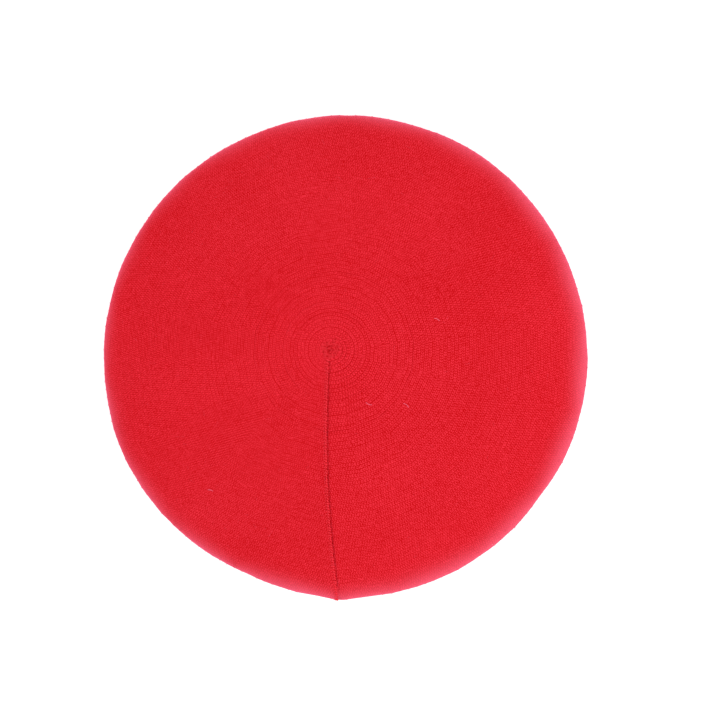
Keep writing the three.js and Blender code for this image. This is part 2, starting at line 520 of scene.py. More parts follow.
SECTION, RIM_INDEX = half_section()
OPENING_R = SECTION[-1, 0]


def outline_radius(angle):
    """The rim's radius in each direction, with the slight unevenness of soft fabric."""
    radius = np.full(np.shape(angle), CROWN_R + 0.8)
    for degrees, width, height in OUTLINE:
        radius += height * bell(turn(angle - math.radians(degrees)) / math.radians(width))
    return radius


def rim_point(angle):
    """Where a ray from the knit's centre meets the rim, in plan."""
    way = ray(angle)
    ahead = way @ CENTRE
    radius = CROWN_R
    for _ in range(3):
        reach = -ahead + np.sqrt(ahead ** 2 - CENTRE @ CENTRE + radius ** 2)
        point = CENTRE + way * reach[..., None]
        radius = outline_radius(np.arctan2(point[..., 1], point[..., 0]))
    return point


def columns():
    """The crown's columns from the seam round to the seam: angle, distance from the seam, side,
    and the two edges of the gore that each lies in."""
    edges = [SEAM_ANGLE, FIRST_EDGE]
    while edges[-1] + 1.5 * GORE < SEAM_ANGLE + TAU:
        edges.append(edges[-1] + GORE)
    edges.append(SEAM_ANGLE + TAU)
    rows = []
    beside = list(zip(SEAM_ANGLES, SEAM_OFFSETS))
    clear = SEAM_ANGLES[-1] + math.radians(1.5)
    for number, (start, end) in enumerate(zip(edges[:-1], edges[1:])):
        parts = max(4, round(math.degrees(end - start) / 2))
        angles = [start + (end - start) * i / parts for i in range(parts)]
        if number == 0:
            angles = [a for a in angles if a > start + clear]
            rows += [(start + a, offset, 1, start, end) for a, offset in [(0, 0.0), *beside]]
        if number == len(edges) - 2:
            angles = [a for a in angles if a < end - clear]
        rows += [(a, 0.0, 0, start, end) for a in angles]
        if number == len(edges) - 2:
            rows += [(end - a, offset, -1, start, end) for a, offset in reversed(beside)]
    return rows


COLUMNS = np.array(columns())
COLUMN_ANGLE, COLUMN_OFFSET, COLUMN_SIDE = COLUMNS[:, 0], COLUMNS[:, 1], COLUMNS[:, 2]
GORE_MIDDLE = (COLUMNS[:, 3] + COLUMNS[:, 4]) / 2
GORE_HALF = (COLUMNS[:, 4] - COLUMNS[:, 3]) / 2


def wale_rows():
    """The wale at which each row of points lies, closer together in the first few wales."""
    rows = [k + p for k in range(WALES) for p in (FINE_PHASES if k < FINE_WALES else WALE_PHASES)]
    return np.array([row for row in rows if row >= 0.3] + [WALES])


def wale_share(wale):
    """How far along its meridian a wale lies, from 0 at the centre to 1 at the band."""
    k = WALE_SPREAD
    return (-1 + np.sqrt(1 + 4 * k * (1 + k) * wale / WALES)) / (2 * k)


def rim_wale():
    """The wale that runs along the rim's fold."""
    length = path_length(SECTION)
    share = length[RIM_INDEX] / length[-1]
    return WALES * share * (1 + WALE_SPREAD * share) / (1 + WALE_SPREAD)


def column_angles(radius):
    """Each column's angle at each of these radii. Columns beside the seam run parallel to it."""
    seam = np.where(COLUMN_SIDE < 0, SEAM_ANGLE + TAU, SEAM_ANGLE)[:, None]
    widest = np.abs(COLUMN_ANGLE[:, None] - seam)
    reach = np.minimum(COLUMN_OFFSET[:, None] / np.maximum(radius, 1.0), widest)
    beside = seam + COLUMN_SIDE[:, None] * reach
    return np.where(COLUMN_SIDE[:, None] == 0, COLUMN_ANGLE[:, None], beside)


def from_seam(angle):
    return turn(angle - SEAM_ANGLE)


def swell(x, y):
    """The soft unevenness of the top, with one long shallow crease."""
    height = np.zeros(np.shape(x))
    for at_x, at_y, radius, lift in SWELLS:
        height += lift * bell(np.hypot(x - at_x, y - at_y) / radius)
    start, end = np.array([51.0, -9.0]), np.array([138.0, 21.0])
    along = (end - start) / np.linalg.norm(end - start)
    forward = (x - start[0]) * along[0] + (y - start[1]) * along[1]
    aside = -(x - start[0]) * along[1] + (y - start[1]) * along[0]
    inside = smooth(forward, 0, 20) * (1 - smooth(forward, 70, 92))
    height -= 0.55 * inside * bell(aside / 2.2)
    height += 0.35 * inside * bell((aside - 5.5) / 4.0)
    return height


def crown_grid(wales):
    """The crown's outer surface before its stitches: points[column, wale], and for each point its
    angle, its radius and whether it is on top."""
    share = wale_share(wales)
    step = np.diff(SECTION, axis=0)
    mean_length = path_length(SECTION)
    mean_radius = np.interp(share * mean_length[-1], mean_length, SECTION[:, 0])
    angle = column_angles(mean_radius)
    fade = (1 - smooth(share, 0.80, 0.97))[None, :]
    chord = np.cos(GORE_HALF)[:, None] / np.cos(angle - GORE_MIDDLE[:, None]) - 1
    wander = ripple(mean_radius * np.cos(angle), mean_radius * np.sin(angle), 42, 15)
    polygon = 1 + fade * (0.01 + chord + 0.0020 * wander)
    reach = np.linalg.norm(rim_point(COLUMN_ANGLE) - CENTRE, axis=1) / CROWN_R
    position = np.zeros_like(angle)
    for c, stretch in enumerate(reach):
        stretched = np.where(np.arange(len(step)) < RIM_INDEX, stretch, 1.0) * step[:, 0]
        length = np.concatenate([[0], np.cumsum(np.hypot(stretched, step[:, 1]))])
        target = np.maximum.accumulate(np.clip(share * polygon[c], 0, 1)) * length[-1]
        position[c] = np.interp(target, length, np.arange(len(length)))
    index = np.arange(len(SECTION))
    radius = np.interp(position, index, SECTION[:, 0])
    height = np.interp(position, index, SECTION[:, 1])
    on_top = position <= RIM_INDEX
    out = radius / CROWN_R
    rim = rim_point(angle)
    top_plan = CENTRE * (1 - out)[..., None] + rim * out[..., None]
    rim_distance = np.linalg.norm(rim, axis=-1)
    inward = np.clip((radius - OPENING_R) / (CROWN_R - OPENING_R), 0, 1)
    under_radius = radius * (1 + (rim_distance / CROWN_R - 1) * inward)
    under_plan = rim / rim_distance[..., None] * under_radius[..., None]
    plan = np.where(on_top[..., None], top_plan, under_plan)
    bow = 0.3 * (1 - out) + SEAM_BOW * np.sin(math.pi * out)
    plan[..., 0] -= np.where(on_top, bow * bell(from_seam(angle) / math.radians(24)), 0)
    soft_top = swell(plan[..., 0], plan[..., 1]) * (1 - smooth(out, 0.9, 1.0))
    ring_x, ring_y = 100 * np.cos(angle), 100 * np.sin(angle)
    soft_under = 1.0 * ripple(ring_x, ring_y, 46, 5) * bell((radius - 108) / 13)
    droop = 1.4 * ripple(ring_x, ring_y, 150, 8) * smooth(out, 0.68, 1.0)
    height = height + np.where(on_top, soft_top, soft_under) + droop
    points = np.concatenate([plan, height[..., None]], -1)
    return points, angle, radius, on_top


def drape():
    """How the plain shape gives way as soft cloth: a coarse crown, held at the band and lightly
    at its top, sinks a little. The movement is kept as waves round the crown, one set for each
    coarse row."""
    wales = np.linspace(3, WALES, DRAPE_ROWS)
    base, angle, radius, on_top = crown_grid(wales)
    bearings = SEAM_ANGLE + np.arange(DRAPE_COLUMNS) * TAU / DRAPE_COLUMNS
    start = np.stack([
        np.stack([np.interp(bearings, angle[:, r], base[:, r, k], period=TAU) for k in range(3)], -1)
        for r in range(DRAPE_ROWS)
    ], 1)
    faces, _ = grid_faces(DRAPE_COLUMNS, DRAPE_ROWS, True, False, ROWS_FIRST)
    pole = DRAPE_COLUMNS * DRAPE_ROWS
    fan = [(pole, i * DRAPE_ROWS, (i + 1) % DRAPE_COLUMNS * DRAPE_ROWS) for i in range(DRAPE_COLUMNS)]
    points = np.concatenate([start.reshape(-1, 3), [start[:, 0].mean(0)]])
    cloth = make_mesh("drape", points, faces + fan, BAND_KNIT)

    held = cloth.vertex_groups.new(name="held")
    row_radius = radius.mean(0)
    top_hold = TOP_HOLD * (1 - smooth(row_radius, *TOP_HOLD_RADII)) * on_top.any(0)
    lip_hold = smooth(wales, *LIP_HOLD_WALES)
    for row, weight in enumerate(np.maximum(top_hold, lip_hold)):
        held.add([i * DRAPE_ROWS + row for i in range(DRAPE_COLUMNS)], float(weight), "REPLACE")
    held.add([pole], float(top_hold[0]), "REPLACE")
    physics = cloth.modifiers.new("drape", "CLOTH")
    for setting, value in DRAPE_CLOTH.items():
        setattr(physics.settings, setting, value)
    physics.settings.vertex_group_mass = "held"
    physics.settings.effector_weights.gravity = DRAPE_GRAVITY
    scene = bpy.context.scene
    for number in range(1, DRAPE_FRAMES + 1):
        scene.frame_set(number)
    rested = cloth.evaluated_get(bpy.context.evaluated_depsgraph_get()).data
    found = np.zeros(len(rested.vertices) * 3, np.float32)
    rested.vertices.foreach_get("co", found)
    moved = found.reshape(-1, 3)[:pole].reshape(start.shape) / MM - start
    size = np.linalg.norm(moved, axis=-1, keepdims=True)
    moved = moved * np.tanh(size / DRAPE_MOST) * DRAPE_MOST / np.maximum(size, 1e-6)
    shape = cloth.data
    bpy.data.objects.remove(cloth)
    bpy.data.meshes.remove(shape)
    scene.frame_set(1)
    waves = np.fft.rfft(moved, axis=0)[:DRAPE_WAVES] / DRAPE_COLUMNS
    waves[1:] *= 2
    return wales, waves


def drape_moves(drape_wales, waves, wales, angle):
    """The draped cloth's movement at each point of a finer grid, smoothed along the fabric so that
    the coarse rows don't show. Near the centre only what moves the whole ring is left."""
    spread = np.exp(-np.linspace(-2, 2, 25) ** 2)
    spread /= spread.sum()
    fine = np.zeros((len(waves), len(wales), 3), complex)
    for wave in range(len(waves)):
        for k in range(3):
            along = np.interp(wales, drape_wales, waves[wave, :, k].real)
            along = along + 1j * np.interp(wales, drape_wales, waves[wave, :, k].imag)
            padded = np.pad(along, 12, mode="edge")
            fine[wave, :, k] = np.convolve(padded, spread, "valid")
    fine[1:] *= smooth(wales, 0.0, 5.0)[None, :, None]
    turns = np.exp(1j * np.arange(len(waves))[:, None, None] * (angle - SEAM_ANGLE)[None])
    return np.einsum("hcr,hrk->crk", turns, fine).real


def surface_normals(points):
    around = np.roll(points, -1, 0) - np.roll(points, 1, 0)
    outward = np.gradient(points, axis=1)
    return -unit(np.cross(around, outward))


def stitch_relief(wales, base, angle, radius, on_top):
    """How far the outer surface stands up or down from the plain shape, in millimetres."""
    x, y = base[..., 0], base[..., 1]
    number = np.rint(wales).astype(int)
    rng = np.random.default_rng(7)
    depth = (0.015 + 0.05 * rng.random(WALES + 1)) * (0.4 + 2.6 * np.exp(-np.arange(WALES + 1) / 16))
    depth[list(STRONG_WALES)] = 0.22
    groove = bell((wales - number) / 0.11) * depth[number] + 0.05 * np.cos(TAU * wales)
    patch = np.clip(1 + 0.35 * ripple(x, y, 34, 3), 0.25, 1.8)
    relief = -groove[None, :] * patch
    edge = np.minimum(np.abs(angle - GORE_MIDDLE[:, None]) - GORE_HALF[:, None], 0) * radius
    relief -= 0.10 * bell(edge / 1.2) * smooth(radius, 15, 30)
    relief += 0.04 * ripple(x, y, 5.5, 21) + 0.08 * ripple(x, y, 19, 22)

    # The seam's groove, the raised fabric beside it and the hollow under its slanting stitches.
    apart = from_seam(angle) * radius
    seam = smooth(radius, 4.5, 8) * np.where(on_top, 1 - 0.75 * smooth(radius, 132, CROWN_R), 0.25)
    jag = 0.16 * ripple(x, y, 4.0, 33)
    relief -= 1.05 * seam * bell((apart + jag) / 0.38)
    relief += 0.50 * seam * bell((apart + 2.6) / 1.3)
    relief -= 0.60 * seam * bell((apart + 1.15) / 0.75)
    relief += 0.20 * seam * bell((apart - 1.5) / 1.0)

    gather = (1 - smooth(radius, 4.0, 8.0)) * on_top
    relief += gather * (0.20 * ripple(x, y, 2.5, 12) + 0.02)
    return relief


def make_crown():
    """The crown's knit as one closed body: the outer face, the inner face and the edge by the
    band. Also gives the outer face's points and normals, for the stitches that lie on it."""
    wales = wale_rows()
    base, angle, radius, on_top = crown_grid(wales)
    moves = drape_moves(*drape(), wales, angle)
    out = radius / CROWN_R
    below = 1 - (1 - DRAPE_SIDEWAYS) * smooth(out, 0.80, 1.0)
    above = DRAPE_TOP_SINK + (1 - DRAPE_TOP_SINK) * smooth(out, 0.75, 0.98)
    moves[..., :2] *= np.where(on_top, DRAPE_SIDEWAYS, below)[..., None]
    moves[..., 2] *= np.where(on_top, above, 1.0)
    base = base + moves
    normal = surface_normals(base)
    outer = base + normal * stitch_relief(wales, base, angle, radius, on_top)[..., None]
    # The inner face: every eighth row, from the band back to the centre, and thicker at the seam.
    inner_rows = np.arange(len(wales) - 1, 3, -8)
    allowance = 1.3 * bell(from_seam(angle) * radius / 1.5) * smooth(radius, 6, 12)
    inner = (base - normal * (FABRIC + allowance)[..., None])[:, inner_rows]
    grid = np.concatenate([outer, inner], axis=1)
    count, rows = grid.shape[:2]
    cap_top = outer[:, 0].mean(0)
    cap_inside = inner[:, -1].mean(0)
    points = np.concatenate([grid.reshape(-1, 3), [cap_top, cap_inside]])
    faces, corners = grid_faces(count, rows, True, False, ROWS_FIRST)
    grid_wale = np.concatenate([wales, wales[inner_rows]])
    grid_angle = np.concatenate([angle, angle[:, inner_rows]], axis=1)
    grid_radius = np.concatenate([radius, radius[:, inner_rows]], axis=1)
    column = corners[0][0]
    pairs = []
    for a, b in corners:
        bearing = grid_angle[a % count, b] + TAU * (a // count) - GORE_MIDDLE[column]
        pairs.append((grid_radius[a % count, b] * np.sin(bearing) / COURSE, grid_wale[b]))
    top, inside = count * rows, count * rows + 1
    for i in range(count):
        j = (i + 1) % count
        faces.append([top, i * rows, j * rows])
        faces.append([inside, j * rows + rows - 1, i * rows + rows - 1])
    uv = np.concatenate([corner_map(pairs), [(0.4, 0.5)] * 6 * count])
    crown = make_mesh("crown_knit", points, faces, CROWN_KNIT, uv)
    return crown, outer, normal, angle, radius


# --- the crown, and helpers for the pieces round it


def bend_with_crown(piece):
    """Weights for the piece to follow the band at the opening and the crown at the rim. Both faces of
    the fabric turn alike, so the weights are taken from how far out a point is, not from its height:
    the mesh is held as a cone while bake_transform() runs on it, and then gets its own points back.
    Nothing reads the weights."""
    mesh = piece.data
    shape = np.zeros(len(mesh.vertices) * 3, np.float32)
    mesh.vertices.foreach_get("co", shape)
    points = shape.reshape(-1, 3) / MM
    out = np.hypot(points[:, 0], points[:, 1])
    on_top = (points[:, 2] > RIM_Z - 3) | ((out < CROWN_R - 8) & (points[:, 2] > RIM_Z - 2))
    spread = np.clip((out - OPENING_R - 6) / (CROWN_R - OPENING_R - 10), 0, 1)
    held = shape.reshape(-1, 3).copy()
    held[:, 2] = np.where(on_top, 1.0, spread)
    mesh.vertices.foreach_set("co", held.ravel())
    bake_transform(piece)
    mesh.vertices.foreach_set("co", shape)
    mesh.update()


def settle(piece, slot, *nodes):
    """Hides the CAD nodes that a piece stands for. The piece and its material slot are not used."""
    if nodes:
        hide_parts(*nodes)


CROWN_KNIT = knit_material(
    "crown_knit", rgb(0.545, 0.000, 0.001), rgb(0.900, 0.032, 0.056), 0.85, 0.80, 20.0, rim_wale()
)
crown, OUTER, NORMAL, ANGLE, RADIUS = make_crown()
bend_with_crown(crown)
settle(crown, "crown_knit", "crown_top", "crown_underside")


# --- the seam's stitches

SEAM_COLUMNS = np.arange(-16, 17)
SEAM_PATH = OUTER[0]
SEAM_LENGTH = path_length(SEAM_PATH)


def on_seam(along, aside, lift):
    """A point this far along the seam from the centre, this far to its right, and above it."""
    row = np.interp(along, SEAM_LENGTH, np.arange(len(SEAM_LENGTH)))
    low = min(int(row), len(SEAM_LENGTH) - 2)
    found = []
    for r in (low, low + 1):
        apart = from_seam(ANGLE[SEAM_COLUMNS, r]) * RADIUS[SEAM_COLUMNS, r]
        found.append([np.interp(aside, apart, OUTER[SEAM_COLUMNS, r, k]) for k in range(3)])
    point = np.array(found[0]) * (low + 1 - row) + np.array(found[1]) * (row - low)
    return point + NORMAL[0, low] * lift


def make_seam_stitches():
    """Two columns of slanting stitches over the hollow on one side of the seam's groove."""
    pitch = 1.75
    bite = 0.20
    rng = np.random.default_rng(31)
    solid = Solid()
    start = 6.0
    end = SEAM_LENGTH[-1] - 17
    t = np.linspace(0, 1, 6)
    taper = 0.62 + 0.38 * np.sin(math.pi * t)
    for i in range(int((end - start) / pitch)):
        at = start + i * pitch
        fading = 1 - 0.45 * float(smooth(at, 95, 135))
        for column, (near, far, ahead, behind, thick) in enumerate(
            [(-0.45, -1.60, 1.05, -0.15, 0.33), (-1.75, -2.40, 0.1, 0.90, 0.25)]
        ):
            jog, size = rng.normal(0, 0.12), 1 + rng.normal(0, 0.08)
            lift = bite + thick * 1.3 * fading * np.sin(math.pi * t) - 0.05 * column
            path = [
                on_seam(at + ahead + (behind - ahead) * a + jog, near + (far - near) * a, b)
                for a, b in zip(t, lift)
            ]
            solid.tube(path, thick * size * taper, up=NORMAL[0, 40])
    return solid.build("radial_seam_stitches", SEAM_YARN)


def make_bartack():
    """Stitches to and fro over the seam's end, under the hat."""
    solid = Solid()
    end = SEAM_LENGTH[-1] - 13.5
    t = np.linspace(0, 1, 8)
    for i in range(9):
        at = end - 0.62 * i
        lean = 0.45 if i % 2 else -0.45
        path = [
            on_seam(at + lean * (a - 0.5), -1.75 + 3.1 * a, 0.25 + 0.35 * math.sin(math.pi * a))
            for a in t
        ]
        solid.tube(path, 0.34)
    return solid.build("seam_end_stitches", RED_THREAD)


for piece, slot, node in (
    (make_seam_stitches(), "seam_yarn", "radial_seam_chain"),
    (make_bartack(), "red_thread", "seam_bartack"),
):
    bend_with_crown(piece)
    settle(piece, slot, node)


# --- the closed centre

CLOSING_LOOPS = 26
NEAR_CENTRE = OUTER[:, :60].reshape(-1, 3)


def on_centre(spot, lift):
    """A point on the crown at this place from the knit's centre, and above it."""
    x, y = CENTRE + spot
    apart = np.hypot(NEAR_CENTRE[:, 0] - x, NEAR_CENTRE[:, 1] - y)
    near = np.argpartition(apart, 4)[:4]
    share = 1 / (apart[near] + 0.05)
    return np.array([x, y, (NEAR_CENTRE[near, 2] * share).sum() / share.sum() + lift])


def make_closing():
    """The last loops drawn together into an uneven pucker, and the thread that gathers them."""
    rng = np.random.default_rng(18)
    solid = Solid()
    t = np.linspace(0, 1, 11)
    for i in range(CLOSING_LOOPS):
        bearing = i * 2.4 + rng.uniform(-0.3, 0.3)
        radius = 5.8 * math.sqrt(i / CLOSING_LOOPS) * rng.uniform(0.75, 1.15)
        length, curl = rng.uniform(2.0, 3.4), rng.uniform(-1.6, 1.6)
        heading = bearing + math.pi / 2 + rng.uniform(-0.9, 0.9)
        path = []
        for a in t:
            spot = radius * ray(bearing) + length * (a - 0.5) * ray(heading + curl * (a - 0.5))
            path.append(on_centre(spot, 0.36 * math.sin(math.pi * a) - 0.06))
        solid.tube(path, 0.33 * (0.7 + 0.3 * np.sin(math.pi * t)))
    thread = []
    for a in np.linspace(0, TAU, 64, endpoint=False):
        wave = math.cos(8 * a + 0.6)
        radius = 3.6 + 0.45 * wave + 0.9 * math.sin(3 * a)
        thread.append(on_centre(radius * ray(a), 0.30 * wave - 0.08))
    solid.loop(thread, 0.30)
    return solid.build("centre_closing", RED_THREAD)


def make_knot():
    """The gathering thread's knot under the centre, with its two cut tails."""
    solid = Solid()
    middle = (knot_low + knot_high) / 2
    size = (knot_high - knot_low) / 2
    a = np.linspace(0, TAU, 48, endpoint=False)
    x, y = (np.sin(a) + 2 * np.sin(2 * a)) / 3, (np.cos(a) - 2 * np.cos(2 * a)) / 3
    solid.loop(middle + size * 0.72 * np.stack([x, y, 0.6 * np.sin(3 * a)], -1), 0.36)
    t = np.linspace(0, 1, 9)
    for heading in (0.6, 3.5):
        path = middle + polar(0.8 + 4.5 * t, heading + 0.5 * t, 0.3 * np.sin(math.pi * t))
        solid.tube(path, 0.34 * np.linspace(1, 0.7, 9))
    return solid.build("centre_knot_tied", RED_THREAD)


for piece, node in ((make_closing(), "centre_closing_ring"), (make_knot(), "centre_knot")):
    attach(piece, "crown")
    settle(piece, "red_thread", node)


# --- loose fibres


RIM_FUZZ_R = 141.5
# Loose fibres at the rim and on top: how many, their shortest and longest, and how flat they lie.
RIM_FIBRES = (5000, 0.5, 1.1, 0.8)
TOP_FIBRES = (240, 1.2, 2.6, 3.0)
# Bits of lint: x, y, length, heading.
LINT = ((55, 21, 3.2, 2.2), (37, -30, 4.0, 2.0), (12, -27, 3.6, -0.9), (-79, -80, 3.0, 2.4))


def make_fibres():
    """Short fibres that stand out of the wool: close together round the rim, where they show
    against the light, and a few on top, with four longer bits of lint."""
    rng = np.random.default_rng(63)
    solid = Solid()
    on_rim = (RADIUS > RIM_FUZZ_R) & (OUTER[..., 2] > RIM_Z - 7)
    everywhere = OUTER[..., 2] > RIM_Z
    t = np.linspace(0, 1, 4)[:, None]
    for place, (many, low, high, flat) in ((on_rim, RIM_FIBRES), (everywhere, TOP_FIBRES)):
        roots, ways = OUTER[place], NORMAL[place]
        weight = np.hypot(roots[:, 0], roots[:, 1])
        picked = rng.choice(len(roots), many, p=weight / weight.sum())
        for root, way in zip(roots[picked], ways[picked]):
            lean = rng.normal(size=3) * flat
            lean -= way * (lean @ way)
            curl = np.cross(way, lean) * rng.normal(0, 0.5)
            heading = unit(way + lean)
            length = rng.uniform(low, high)
            path = root - way * 0.1 + (heading * t + curl * t * t * 0.5) * length
            solid.tube(path, 0.03 * np.array([1, 1, 0.9, 0.6]), 3, up=(0.3, 0.5, 0.8))
    above = OUTER[everywhere]
    t = np.linspace(0, 1, 8)
    for x, y, length, heading in LINT:
        z = above[np.argmin(np.hypot(above[:, 0] - x, above[:, 1] - y)), 2]
        path = polar(length * t, heading + 0.5 * t, 0.15 + 0.25 * np.sin(math.pi * t))
        solid.tube(path + np.array([x, y, z]), 0.24, 5)
    return solid.build("loose_fibres", LOOSE_WOOL)


fibres = make_fibres()
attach(fibres, "crown")
settle(fibres, "seam_yarn")


# --- the rib headband


def band_section():
    """The folded band's closed section: radius, height, which way is out, and how deep its ribs
    are there. It runs down the outside, round the fold, up the inside and along the channel."""
    inner_r = BAND_R - BAND_WIDTH
    channel_in, channel_out = ELASTIC_INNER_R - 0.3, ELASTIC_R + 0.3
    fold = 2.6
    rib = 0.72
    middle, half = (BAND_R + inner_r) / 2, BAND_WIDTH / 2
    rows = []
    for z in np.linspace(BAND_TOP - 0.3, fold, 15):
        rows.append((BAND_R, z, 1, 0, rib))
    for a in np.linspace(0, math.pi, 9)[1:-1]:
        out, down = math.cos(a), math.sin(a)
        rows.append((middle + half * out, fold * (1 - down), out, -down, rib))
    for z in np.linspace(fold, BAND_TOP - 0.3, 15):
        rows.append((inner_r, z, -1, 0, rib))
    rows.append((inner_r + 0.5, BAND_TOP, 0, 1, 0.2))
    rows.append((channel_in - 0.2, BAND_TOP, 0, 1, 0.2))
    for z in (BAND_TOP - 0.4, BAND_TOP / 2, fold + 0.4):
        rows.append((channel_in, z, 1, 0, 0.0))
    rows.append(((channel_in + channel_out) / 2, fold, 0, 1, 0.0))
    for z in (fold + 0.4, BAND_TOP / 2, BAND_TOP - 0.4):
        rows.append((channel_out, z, -1, 0, 0.0))
    rows.append((channel_out + 0.2, BAND_TOP, 0, 1, 0.2))
    rows.append((BAND_R - 0.5, BAND_TOP, 0, 1, 0.2))
    return np.array(rows)


def make_band():
    """Knit ribs with purl grooves between them, four columns of points to each rib."""
    section = band_section()
    count, rows = RIBS * 4, len(section)
    rib = np.arange(count) / 4
    angle = SEAM_ANGLE + rib / RIBS * TAU
    groove = 0.5 + 0.5 * np.cos(TAU * rib)
    rng = np.random.default_rng(9)
    uneven = 1 + 0.12 * rng.normal(size=RIBS)
    sink = (groove * uneven[(rib + 0.5).astype(int) % RIBS])[:, None] * section[None, :, 4]
    radius = section[None, :, 0] - sink * section[None, :, 2]
    height = section[None, :, 1] - sink * section[None, :, 3]
    points = polar(radius, angle[:, None], height)
    length = path_length(np.concatenate([section, section[:1]])[:, :2]) / 1.3
    faces, corners = grid_faces(count, rows, True, True, COLUMNS_FIRST)
    uv = corner_map((length[b], a / 4) for a, b in corners)
    return make_mesh("headband_rib", points.reshape(-1, 3), faces, BAND_KNIT, uv)


def make_elastic():
    """A flat woven elastic, a little wavy in its channel."""
    count = 360
    thick, corner, bevel = 0.22, 0.08, 0.2
    angle = np.arange(count) * TAU / count
    middle_r = (ELASTIC_INNER_R + ELASTIC_R) / 2 + 0.06 * np.sin(11 * angle)
    low, high = elastic_low[2], elastic_high[2]
    section = np.array([
        (thick, low + bevel),
        (thick, high - bevel),
        (corner, high),
        (-corner, high),
        (-thick, high - bevel),
        (-thick, low + bevel),
        (-corner, low),
        (corner, low),
    ])
    rows = len(section)
    points = polar(middle_r[:, None] + section[:, 0], angle[:, None], section[:, 1])
    faces, corners = grid_faces(count, rows, True, True, ROWS_FIRST)
    step = ELASTIC_R * TAU / count
    uv = corner_map((a * step, section[b % rows, 1]) for a, b in corners)
    return make_mesh("band_elastic", points.reshape(-1, 3), faces, ELASTIC, uv)


def make_linking():
    """The chain of stitches between the crown's edge and the band, one for each rib."""
    solid = Solid()
    z = (chain_low[2] + chain_high[2]) / 2 - 0.3
    t = np.linspace(0, 1, 6)
    rng = np.random.default_rng(44)
    for i in range(RIBS):
        start = SEAM_ANGLE + (i + rng.uniform(-0.08, 0.08)) * TAU / RIBS
        for side in (-1, 1):
            radius = CHAIN_R + 0.28 * np.sin(math.pi * t)
            path = polar(radius, start + t * 1.12 * TAU / RIBS, z + side * 0.5 * (1 - t) ** 0.7)
            solid.tube(path, 0.38 * (0.75 + 0.25 * np.sin(math.pi * t)))
    return solid.build("linking_stitches", RED_THREAD)


def make_band_joint():
    """The ridge inside the band where its ends are joined, and the yarn whipped over it."""
    solid = Solid()
    width = ridge_high[0] - ridge_low[0]
    low, high = ridge_low[2], ridge_high[2]
    face, proud = ridge_low[1] - 0.7, ridge_high[1] - 0.35
    middle = (ridge_low[0] + ridge_high[0]) / 2
    heights = np.linspace(low, high, 30)
    spine = [(middle + 0.15 * math.sin(z * 1.1), (face + proud) / 2, z) for z in heights]
    body = width * 0.42 * (1 + 0.06 * np.sin(heights * 4.2))
    solid.tube(spine, body, 14, flatten=0.62, up=(0, 1, 0))
    t = np.linspace(0, 1, 9)
    swing = math.pi * (1.02 * t - 0.01)
    for z in np.arange(low + 0.6, high - 0.8, 1.25):
        x = middle - width * 0.52 * np.cos(swing)
        y = face + (proud - face + 0.3) * np.sin(swing)
        solid.tube(np.stack([x, y, z + t], -1), 0.33)
    return solid.build("band_joint_stitches", RED_THREAD)


for piece, slot, node in (
    (make_band(), "rib_knit", "headband"),
    (make_elastic(), "woven_elastic", "headband_elastic"),
    (make_linking(), "red_thread", "linking_chain"),
    (make_band_joint(), "red_thread", "band_joint_seam"),
):
    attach(piece, "headband")
    settle(piece, slot, node)


# --- the label

LABEL_WIDTH = label_high[0] - label_low[0]
LABEL_FOLD = (label_high[1] - label_low[1]) / 2 - 0.1
LABEL_DROP = label_high[2] - label_low[2]


def label_line():
    """The folded tape's middle line from its top front edge, round the fold, to its top back
    edge: distance to the front, height."""
    top, low = label_high[2], label_low[2] + LABEL_FOLD
    heights = np.linspace(top, low, 26)
    sag = 0.10 * np.sin(math.pi * (top - heights) / (top - low))
    front = np.stack([LABEL_FOLD + sag, heights], -1)
    angle = np.linspace(0, math.pi, 9)[1:-1]
    fold = np.stack([LABEL_FOLD * np.cos(angle), low - LABEL_FOLD * np.sin(angle)], -1)
    back = np.stack([-LABEL_FOLD + 0.3 * sag[::-1], heights[::-1]], -1)
    return np.concatenate([front, fold, back])


def make_label():
    """A blank woven tape folded in two, with its selvedges at the sides."""
    line = label_line()
    thick = 0.16
    along = unit(np.gradient(line, axis=0))
    out = np.stack([-along[:, 1], along[:, 0]], -1)
    length = path_length(line)
    middle_x = (label_low[0] + label_high[0]) / 2
    middle_y = (label_low[1] + label_high[1]) / 2
    across = np.linspace(-LABEL_WIDTH / 2, LABEL_WIDTH / 2, 25)
    down = (label_high[2] - line[:, 1]) / LABEL_DROP
    faces, points, uv = [], [], []
    for side in (1, -1):
        for i, (y, z) in enumerate(line):
            for x in across:
                curl = 0.12 * down[i] * math.sin(x * 0.21 + 0.8)
                offset = out[i] * side * thick / 2
                points.append((middle_x + x, middle_y + y + curl + offset[0], z + offset[1]))
    steps, wide = len(line), len(across)

    def number(side, i, j):
        return side * steps * wide + i * wide + j

    def quad(corners):
        faces.append([number(*corner) for corner in corners])
        uv.extend((across[j], length[i]) for _, i, j in corners)

    for i in range(steps - 1):
        for j in range(wide - 1):
            quad([(0, i, j), (0, i, j + 1), (0, i + 1, j + 1), (0, i + 1, j)])
            quad([(1, i, j), (1, i + 1, j), (1, i + 1, j + 1), (1, i, j + 1)])
        quad([(0, i, 0), (0, i + 1, 0), (1, i + 1, 0), (1, i, 0)])
        quad([(0, i, wide - 1), (1, i, wide - 1), (1, i + 1, wide - 1), (0, i + 1, wide - 1)])
    for j in range(wide - 1):
        quad([(0, 0, j), (1, 0, j), (1, 0, j + 1), (0, 0, j + 1)])
        quad([(0, steps - 1, j), (0, steps - 1, j + 1), (1, steps - 1, j + 1), (1, steps - 1, j)])
    return make_mesh("blank_label", points, faces, LABEL_CLOTH, uv), length[-1]


